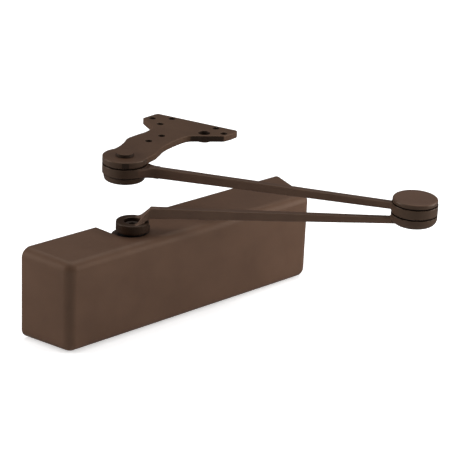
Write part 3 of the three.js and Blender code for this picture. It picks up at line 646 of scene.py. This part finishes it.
def section(half_length, half_height, corner, y, corner_steps=12):
    """One loop of the cover at depth y, narrowed by its taper."""
    forward = -y / COVER_DEPTH
    narrow = 1 - forward * COVER_END_TAPER * 2 / COVER_LENGTH
    lower = 1 - forward * COVER_TOP_TAPER * 2 / COVER_HEIGHT
    loop = []
    for quarter in range(4):
        sx = 1 if quarter in (0, 3) else -1
        sz = 1 if quarter in (0, 1) else -1
        for i in range(corner_steps + 1):
            a = (quarter + i / corner_steps) * math.pi / 2
            x = sx * (half_length - corner) + corner * math.cos(a)
            z = sz * (half_height - corner) + corner * math.sin(a)
            loop.append((COVER_LEFT + COVER_LENGTH / 2 + x * narrow, y, z * lower))
    return loop


def shell_loops(inset, edge_steps=10):
    """Loops from the back rim over the round front edge, for the shell grown inwards by inset."""
    half_length, half_height = COVER_LENGTH / 2 - inset, COVER_HEIGHT / 2 - inset
    corner, edge, depth = COVER_CORNER - inset, COVER_EDGE - inset, COVER_DEPTH - inset
    loops = [section(half_length, half_height, corner, -depth * t * (1 - edge / depth)) for t in (0, 0.5, 1)]
    for i in range(1, edge_steps + 1):
        a = i / edge_steps * math.pi / 2
        pull = edge * (1 - math.cos(a))
        y = -(depth - edge) - edge * math.sin(a)
        loops.append(section(half_length - pull, half_height - pull, corner - pull, y))
    return loops


SCREW_SEAT = [(0, -50, 0), (4.2, -50, 0), (4.2, -43.5, 0), (2.2, -41.2, 0), (2.2, -30, 0), (0, -30, 0)]
ARC_STEPS = 48


def make_cover():
    """The painted shell with its notch and its two screw seats."""
    outer, inner = shell_loops(0.0), shell_loops(COVER_WALL)
    verts, faces, rows = [], [], []
    for loop in outer + inner[::-1]:
        rows.append(range(len(verts), len(verts) + len(loop)))
        verts.extend(loop)
    n = len(outer[0])
    split = len(outer)
    outer_rows, inner_rows = rows[:split], rows[split:][::-1]
    bands = list(zip(outer_rows, outer_rows[1:])) + list(zip(inner_rows, inner_rows[1:]))
    bands.append((outer_rows[0], inner_rows[0]))
    for a, b in bands:
        for k in range(n):
            m = (k + 1) % n
            faces.append((a[k], a[m], b[m], b[k]))
    faces.append(list(outer_rows[-1]))
    faces.append(list(inner_rows[-1]))
    cover = new_object("cover_shell", verts, faces)
    cut(cover, notch_cutter())
    for x in COVER_SCREWS_X:
        cutter = turned("seat_cutter", SCREW_SEAT, segments=48, centre=(x, COVER_SCREWS_Y, 0.0))
        cutter.modifiers.clear()
        cut(cover, cutter)
    soften(cover, width=0.45, segments=3, angle=38)
    return cover


def notch_cutter():
    """U-shaped slot through the cover's top wall, round the spindle and wider towards the back."""
    middle_x, middle_y = NOTCH_CENTRE
    arc = []
    for i in range(ARC_STEPS + 1):
        a = -NOTCH_FLARE - (math.pi - 2 * NOTCH_FLARE) * i / ARC_STEPS
        arc.append((NOTCH_RADIUS * math.cos(a), middle_y + NOTCH_RADIUS * math.sin(a)))
    back = 12.0
    reach = arc[0][0] + (back - arc[0][1]) * math.tan(NOTCH_FLARE)
    line = [(middle_x + x, y) for x, y in [(reach, back)] + arc + [(-reach, back)]]
    n = len(line)
    verts = [(x, y, z) for z in (30.0, 60.0) for x, y in line]
    faces = [list(range(n)), list(range(n, 2 * n))]
    faces += [(k, (k + 1) % n, n + (k + 1) % n, n + k) for k in range(n)]
    return new_object("notch_cutter", verts, faces)


# ---------------------------------------------------------------- arms

MAIN_BLADE = [
    (15.6, BLADE_HALF_WIDTH, 56.8, 66.3), (17.0, BLADE_HALF_WIDTH, 56.9, 66.7),
    (MAIN_ARM_LENGTH - 10, BLADE_HALF_WIDTH, 59.7, 65.2)]


def gooseneck():
    """Stations of the web that climbs from the hub's top to the blade, wide at its foot."""
    out = [(2.0, 12.6, 50.5, 53.4), (4.3, 12.0, 50.6, 53.5)]
    for i in range(1, 9):
        t = i / 8
        half_width = BLADE_HALF_WIDTH + 8.4 * (1 - t) ** 2
        out.append((4.3 + 11.9 * t, half_width, 50.6 + 6.2 * t, 53.5 + 13.1 * t))
    return out


GOOSENECK = gooseneck()


def main_arm_field(p):
    """Hub with its lug, gooseneck, blade and elbow knuckle, along X from the spindle."""
    hub = disc(p, (0, 0), HUB_RADIUS, HUB_LOW, HUB_HIGH, 0.9)
    lug = disc(p, (7.2, 0), 8.7, HUB_LOW, HUB_LOW + 4.5, 0.7)
    neck = loft(p, GOOSENECK, 0.8)
    blade = loft(p, MAIN_BLADE, 1.1)
    low, high = MAIN_KNUCKLE
    knuckle = disc(p, (MAIN_ARM_LENGTH, 0), KNUCKLE_RADIUS, low, high, 0.3)
    rounded_below = disc(p, (MAIN_ARM_LENGTH, 0), KNUCKLE_RADIUS, low, high + 20, 6.5)
    knuckle = np.maximum(knuckle, rounded_below)
    body = smooth_join(0.6, smooth_join(0.8, hub, neck), lug)
    body = smooth_join(1.2, body, blade)
    body = smooth_join(1.2, body, knuckle)
    recess = disc(p, (0, 0), RECESS_RADIUS, RECESS_FLOOR, 80, 0.3)
    square = rounded_box(
        np.abs(p[:, 0]) - SQUARE_HALF_WIDTH, np.abs(p[:, 1]) - SQUARE_HALF_WIDTH,
        np.abs(p[:, 2] - SQUARE_MIDDLE) - SQUARE_HALF_DEPTH, 0.3)
    pin = disc(p, (MAIN_ARM_LENGTH, 0), PIN_RADIUS, 50, 80, HOLE_EDGE)
    return smooth_cut(0.7, body, recess, square, pin)


FOREARM_BLADE = [(8.0, BLADE_HALF_WIDTH, 71.2, 77.4), (FOREARM_LENGTH - 24, BLADE_HALF_WIDTH, 69.2, 79.2)]
NECK_START = (FOREARM_LENGTH - 34, BLADE_HALF_WIDTH, 69.2, 79.2)
NECK_END = (FOREARM_LENGTH - 8, 15.5, 71.3, 77.7)


def forearm_field(p):
    """Elbow knuckle, blade and the eye for the bracket's stud, along X from the elbow."""
    low, high = FOREARM_KNUCKLE
    elbow = disc(p, (0, 0), KNUCKLE_RADIUS, low, high, 0.35)
    eye = disc(p, (FOREARM_LENGTH, 0), KNUCKLE_RADIUS, low, high, 0.35)
    blade = loft(p, FOREARM_BLADE, 1.1)
    neck = loft(p, eased(NECK_START, NECK_END), 1.0)
    body = smooth_join(1.0, elbow, blade)
    body = smooth_join(1.4, smooth_join(1.4, body, neck), eye)
    holes = [disc(p, (x, 0), BUSH_RADIUS, low - 5, high + 5, HOLE_EDGE) for x in (0, FOREARM_LENGTH)]
    return smooth_cut(0.6, body, *holes)


# ---------------------------------------------------------------- body casting

BARREL_Z, BARREL_RADIUS, BARREL_ENDS, BORE_RADIUS = -2.0, 24.0, (-84.0, 186.0), 19.0
BOSS_RADIUS, BOSS_ENDS, BEARING_SEAT = 20.7, (-36.0, 36.0), 13.6
LUGS_X, LUG_LENGTH, LUG_THICKNESS, BASE_THICKNESS = (-76.0, 152.0), 26.0, 9.0, 8.0
LUG_HOLES_X, LUG_HOLE_Z, LUG_HOLE_RADIUS = (-69.0, 171.0), 31.0, 3.4
LUGS_Z = ((20.0, 39.0), (-40.5, -24.0))
VALVES_X, VALVE_Z, VALVE_FACE = (-54.0, -41.0, -28.0), 26.0, -46.0
VALVE_HOLES = ((4.3, 4.0), (2.7, 21.0))  # radius and depth of the key's recess and of the bore
COVER_SCREW_RADIUS = 2.1


def slab(p, low, high, edge):
    """A box between two corners, with round edges."""
    low, high = np.array(low, float), np.array(high, float)
    d = np.abs(p - (low + high) / 2) - (high - low) / 2
    return rounded_box(d[:, 0], d[:, 1], d[:, 2], edge)


def casting_field(p):
    """The iron body: barrel, spindle boss, base, lugs and valve block, with cast fillets between them."""
    barrel = disc(p, (SPINDLE_Y, BARREL_Z), BARREL_RADIUS, *BARREL_ENDS, 1.0, axis=0)
    boss = disc(p, SPINDLE, BOSS_RADIUS, *BOSS_ENDS, 0.5)
    base = slab(p, (LUGS_X[0], -BASE_THICKNESS, -26), (LUGS_X[1] + LUG_LENGTH, 0, 22), 1.2)
    block = slab(p, (VALVES_X[0] - 10, VALVE_FACE, 8), (VALVES_X[2] + 10, SPINDLE_Y + 2, 34), 1.6)
    body = smooth_join(4.0, barrel, block, boss)
    for x in LUGS_X:
        for low, high in LUGS_Z:
            base = smooth_join(3.0, base, slab(p, (x, -LUG_THICKNESS, low), (x + LUG_LENGTH, 0, high), 1.2))
    body = smooth_join(4.0, body, base)
    body = np.maximum(body, p[:, 1])
    holes = [disc(p, (SPINDLE_Y, BARREL_Z), BORE_RADIUS, -120, 220, HOLE_EDGE, axis=0),
             disc(p, SPINDLE, BEARING_SEAT, -60, 60, HOLE_EDGE)]
    holes += [disc(p, (x, z), LUG_HOLE_RADIUS, -20, 5, HOLE_EDGE, axis=1)
              for x in LUG_HOLES_X for z in (-LUG_HOLE_Z, LUG_HOLE_Z)]
    holes += [disc(p, (x, COVER_SCREWS_Y), COVER_SCREW_RADIUS, -45, -29, HOLE_EDGE) for x in COVER_SCREWS_X]
    holes += [disc(p, (x, VALVE_Z), radius, VALVE_FACE - 1, VALVE_FACE + depth, HOLE_EDGE, axis=1)
              for radius, depth in VALVE_HOLES for x in VALVES_X]
    return smooth_cut(0.8, body, *holes)


# ---------------------------------------------------------------- soffit bracket

THROUGH = (60.0, 100.0)  # heights of a hole right through the plate

def quadratic(a, control, b, steps=6):
    """Points of a quadratic curve after the first one."""
    a, control, b = Vector(a), Vector(control), Vector(b)
    points = []
    for i in range(1, steps + 1):
        t = i / steps
        points.append(tuple(a * (1 - t) ** 2 + control * 2 * t * (1 - t) + b * t * t))
    return points


def spline(points, steps=6):
    """Catmull-Rom points after the first one."""
    points = [Vector(p) for p in points]
    out = []
    for i in range(len(points) - 1):
        p0 = points[max(i - 1, 0)]
        p1, p2 = points[i], points[i + 1]
        p3 = points[min(i + 2, len(points) - 1)]
        for k in range(1, steps + 1):
            t = k / steps
            v0, v1 = (p2 - p0) * 0.5, (p3 - p1) * 0.5
            q = (2 * p1 - 2 * p2 + v0 + v1) * t ** 3 + (-3 * p1 + 3 * p2 - 2 * v0 - v1) * t ** 2 + v0 * t + p1
            out.append(tuple(q))
    return out


def bracket_outline():
    """Outline of the T-shaped plate from above, in millimetres from its eye."""
    start, finish = math.radians(58), math.radians(-78)
    edge = (KNUCKLE_RADIUS * math.cos(start), KNUCKLE_RADIUS * math.sin(start))
    line = [edge] + spline([edge, (20, 17.6), (30, 19.2), (43, 22.2), (57, 19.9), (67, 17.4), (77, 16.8)])
    line += quadratic(line[-1], (82.2, 16.8), (85.4, 20.4))
    line += [(99.6, 38.2)]
    line += quadratic(line[-1], (100.8, 39.8), (102.8, 39.4))
    line += [(118.8, 35.6)]
    line += quadratic(line[-1], (121.4, 34.8), (121.4, 32))
    line += [(121.4, -52)]
    line += quadratic(line[-1], (121.3, -55.6), (117.2, -55.6))
    line += [(109.3, -54.5), (104.5, -52.8), (99.8, -50.9), (83.8, -26.8)]
    line += quadratic(line[-1], (81, -22.4), (76, -21))
    line += spline([line[-1], (69.5, -19.6), (56, -17.8), (42, -17.4), (31, -19.4), (19.8, -21.3)])
    sweep = 2 * math.pi - (start - finish)
    for i in range(ARC_STEPS + 1):
        a = finish - sweep * i / ARC_STEPS
        line.append((KNUCKLE_RADIUS * math.cos(a), KNUCKLE_RADIUS * math.sin(a)))
    return line[:-1]


def bracket_field():
    """The plate with its holes and the rim below the large one, as a field round its outline."""
    outline = bracket_outline()

    def field(p):
        edge = 0.55
        side = outline_distance(p[:, :2], outline) + edge
        flat = np.abs(p[:, 2] - (CAP_BOTTOM + BRACKET_TOP) / 2) - (BRACKET_TOP - CAP_BOTTOM) / 2 + edge
        outside = np.hypot(np.maximum(side, 0), np.maximum(flat, 0))
        plate = np.minimum(np.maximum(side, flat), 0) + outside - edge
        rim = disc(p, LARGE_HOLE, LARGE_RIM_RADIUS, CAP_BOTTOM - LARGE_RIM_DEPTH, CAP_BOTTOM + 3, 0.6)
        body = smooth_join(0.6, plate, rim)
        holes = [disc(p, hole, SCREW_HOLE_RADIUS, *THROUGH, HOLE_EDGE) for hole in SCREW_HOLES]
        holes.append(disc(p, LARGE_HOLE, LARGE_HOLE_RADIUS, *THROUGH, HOLE_EDGE))
        holes.append(disc(p, (0, 0), PIN_RADIUS + 0.05, *THROUGH, HOLE_EDGE))
        return smooth_cut(0.7, body, *holes)

    return field


# ---------------------------------------------------------------- studio

def add_area(name, at, target, size, power, glossy_share=1.0):
    """A soft box. Only glossy_share of its power shows in reflections."""
    for suffix, share in (("", glossy_share), ("_diffuse", 1.0 - glossy_share)):
        if share == 0.0:
            continue
        data = bpy.data.lights.new(name + suffix, "AREA")
        data.shape = "RECTANGLE"
        data.size, data.size_y = size
        data.energy = power * share
        light = bpy.data.objects.new(name + suffix, data)
        light.location = at
        light.rotation_euler = (Vector(target) - Vector(at)).to_track_quat("-Z", "Y").to_euler()
        light.visible_glossy = suffix == ""
        bpy.context.scene.collection.objects.link(light)


FLOOR_HALF, FLOOR_Z = 40.0, -0.0437  # metres
FLOOR_GLOW, WORLD_STRENGTH = 0.45, 0.12


def add_floor():
    mesh = bpy.data.meshes.new("floor")
    half, z = FLOOR_HALF, FLOOR_Z
    corners = [(-half, -half, z), (half, -half, z), (half, half, z), (-half, half, z)]
    mesh.from_pydata(corners, [], [(0, 1, 2, 3)])
    floor = bpy.data.objects.new("floor", mesh)
    bpy.context.scene.collection.objects.link(floor)
    material, tree, shader, where = node_material("floor")
    drift = mapped(tree, noise(tree, where, 1.5), 0.0, 1.0)
    pale = mixed(tree, drift, (0.90, 0.90, 0.90), (0.92, 0.92, 0.92))
    tree.links.new(pale, shader.inputs["Base Color"])
    shader.inputs["Roughness"].default_value = 0.9
    shader.inputs["Specular IOR Level"].default_value = 0.1
    shader.inputs["Emission Color"].default_value = (1.0, 1.0, 1.0, 1.0)
    shader.inputs["Emission Strength"].default_value = FLOOR_GLOW
    mesh.materials.append(material)
    floor.visible_glossy = False


def add_studio():
    world = bpy.data.worlds.new("studio")
    world.use_nodes = True
    background = world.node_tree.nodes["Background"]
    background.inputs["Color"].default_value = (1.0, 1.0, 1.0, 1.0)
    background.inputs["Strength"].default_value = WORLD_STRENGTH
    bpy.context.scene.world = world
    add_area("left_box", (-0.95, 0.85, 0.33), (0.0, 0.0, 0.0), (0.8, 0.8), 17.8, 0.35)
    add_area("right_box", (0.86, -0.70, 0.33), (0.2, -0.03, 0.0), (0.7, 0.7), 13.5, 0.35)
    add_area("top_box", (0.4, 0.3, 2.6), (0.3, 0.2, 0.0), (3.2, 3.2), 57)
    add_floor()


# ---------------------------------------------------------------- assembly

FORGING_STEP, CASTING_STEP = 0.7, 1.5  # grid size of a field's surface

add_camera()

finish_piece(make_cover(), "closer", "cover", COVER_PAINT)

main_arm = forged("main_arm_forging", main_arm_field, (-15, -21, 44.5), (273, 21, 70), FORGING_STEP, ARM_PLACE)
# the arms and the bracket take painted shade and painted shadow lines as paint_forging sets them
paint_forging(main_arm, axes=[tuple(ELBOW)], seams=[MAIN_KNUCKLE[1]], hub=SPINDLE, blade=True)
finish_piece(main_arm, "main_arm", "main_arm")

forearm = forged("forearm_forging", forearm_field, (-21, -21, 69), (294, 21, 80), FORGING_STEP, FOREARM_PLACE)
paint_forging(forearm, axes=[tuple(ELBOW), tuple(EYE)], seams=FOREARM_KNUCKLE, blade=True)
finish_piece(forearm, "forearm", "forearm")

bracket = forged(
    "bracket_casting", bracket_field(), (-21, -55, 77.5), (122, 40, 87), FORGING_STEP, BRACKET_PLACE)
# the bracket's hole walls and milled flat take painted shade, and its eye's rim a painted shadow at the seam
paint_forging(bracket, BRACKET_PAINT, axes=[tuple(EYE)], seams=[CAP_BOTTOM], shaded=bracket_shading())
finish_piece(bracket, "bracket", "soffit_bracket")

casting = forged("casting_body", casting_field, (-84, -50, -41), (186, 0, 39), CASTING_STEP)
finish_piece(casting, "closer", "body_casting", IRON)

CAP_RADIUS = KNUCKLE_RADIUS - 0.4
elbow_cap = turned("elbow_cap_turned", [
    (0, CAP_BOTTOM, 0), (CAP_RADIUS, CAP_BOTTOM, 0.25), (CAP_RADIUS, CAP_TOP, 2.2), (0, CAP_TOP, 0)],
    (MAIN_ARM_ANGLE, tuple(ELBOW)))
# the cap's round side takes the knuckles' painted shade, with a painted shadow line at its bottom seam
paint_forging(elbow_cap, axes=[tuple(ELBOW)], seams=[CAP_BOTTOM])
finish_piece(elbow_cap, "main_arm", "elbow_cap")

STUD_BOTTOM, STUD_HEAD_RADIUS = 65.2, 8.5
stud = turned("bracket_stud_turned", [
    (0, STUD_BOTTOM, 0), (PIN_RADIUS, STUD_BOTTOM, 0.5), (PIN_RADIUS, BRACKET_TOP + 0.1, 0),
    (STUD_HEAD_RADIUS, BRACKET_TOP + 0.1, 0.3), (STUD_HEAD_RADIUS, BRACKET_TOP + 3.3, 0.35),
    (0, BRACKET_TOP + 3.5, 0)], BRACKET_PLACE, segments=72)
# the stud head's side takes the underside's painted shade
paint_forging(stud, BRACKET_PAINT, shaded=lambda x, y, z, normal: z > BRACKET_TOP and abs(normal.z) < UPWARD)
finish_piece(stud, "bracket", "bracket_stud")

RETAINER_FLOOR, RETAINER_BORE = 65.0, 6.1
retainer = turned("bracket_retainer_turned", [
    (0, RETAINER_BOTTOM, 0), (18.9, RETAINER_BOTTOM, 2.0), (20.0, MAIN_KNUCKLE[1], 0.25),
    (RETAINER_BORE, MAIN_KNUCKLE[1], 0.2), (RETAINER_BORE, RETAINER_FLOOR, 0.2), (0, RETAINER_FLOOR, 0)],
    BRACKET_PLACE)
# the whole retainer takes the knuckles' painted shade
finish_piece(retainer, "bracket", "bracket_retainer", JOINT_SHADE_PAINT)

SPRING_ENDS, SPRING_SPLIT, SPRING_GAP = (36.0, 160.3), 128.0, 0.5
SPRINGS = {"spring_outer": (16.4, 2.0, 8), "spring_inner": (10.6, 1.3, 11)}  # radius, wire radius, turns


def coil(name, radius, wire, turns, near_seat, sides=10, steps=32):
    """One length of a round-wire spring: from the piston to the split, or from there to its seat."""
    start, end = SPRING_ENDS[0] + wire + SPRING_GAP, SPRING_ENDS[1] - wire - SPRING_GAP
    count = turns * steps
    split = round(count * (SPRING_SPLIT - start) / (end - start))
    points, faces = [], []
    for i in range(split, count + 1) if near_seat else range(split + 1):
        a = 2 * math.pi * i / steps
        x = start + (end - start) * i / count
        for j in range(sides):
            b = 2 * math.pi * j / sides
            r = radius + wire * math.cos(b)
            points.append((x + wire * math.sin(b), SPINDLE_Y + r * math.cos(a), BARREL_Z + r * math.sin(a)))
    last = len(points) - sides
    for i in range(0, last, sides):
        for j in range(sides):
            k = (j + 1) % sides
            faces.append((i + j, i + k, i + sides + k, i + sides + j))
    faces.append(tuple(range(sides)))
    faces.append(tuple(last + j for j in reversed(range(sides))))
    return new_object(name, points, faces)


for node, (radius, wire, turns) in SPRINGS.items():
    for near_seat in (False, True):
        length = coil(node + ("_seat_end" if near_seat else "_piston_end"), radius, wire, turns, near_seat)
        length.data.materials.append(SPRING_STEEL)
        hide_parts(node)
        if near_seat:
            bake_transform(length)
        else:
            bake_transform(length)

SHOWN_CAD = [
    (SCREW_FINISH, ["cover_screw_1", "cover_screw_2", "arm_screw"]),
    (HOUSING_PAINT, ["upper_bearing_cap"]),
    (IRON, ["lower_bearing_cap"]),
    (ZINC, ["end_cap_left", "end_cap_right", "backcheck_valve", "sweep_valve", "latch_valve"]),
    (BLACK_STEEL, ["spindle"]),
    (TURNED_Z, ["upper_bearing", "lower_bearing", "elbow_pin"]),
    (TURNED_X, ["spring_adjuster", "spring_seat", "piston", "check_ball", "check_ball_retainer"]),
    (BRONZE, ["elbow_bush", "bracket_bush"]),
    (RUBBER, ["end_seal_left", "end_seal_right", "spindle_seal"]),
    (POLYMER, ["piston_ring_left", "piston_ring_right", "elbow_lower_washer", "elbow_upper_washer",
               "bracket_lower_washer", "bracket_upper_washer"]),
]
for material, names in SHOWN_CAD:
    for name in names:
        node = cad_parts[name]
        node.data.materials.clear()
        node.data.materials.append(material)

add_studio()
bpy.context.scene.view_settings.view_transform = "Standard"
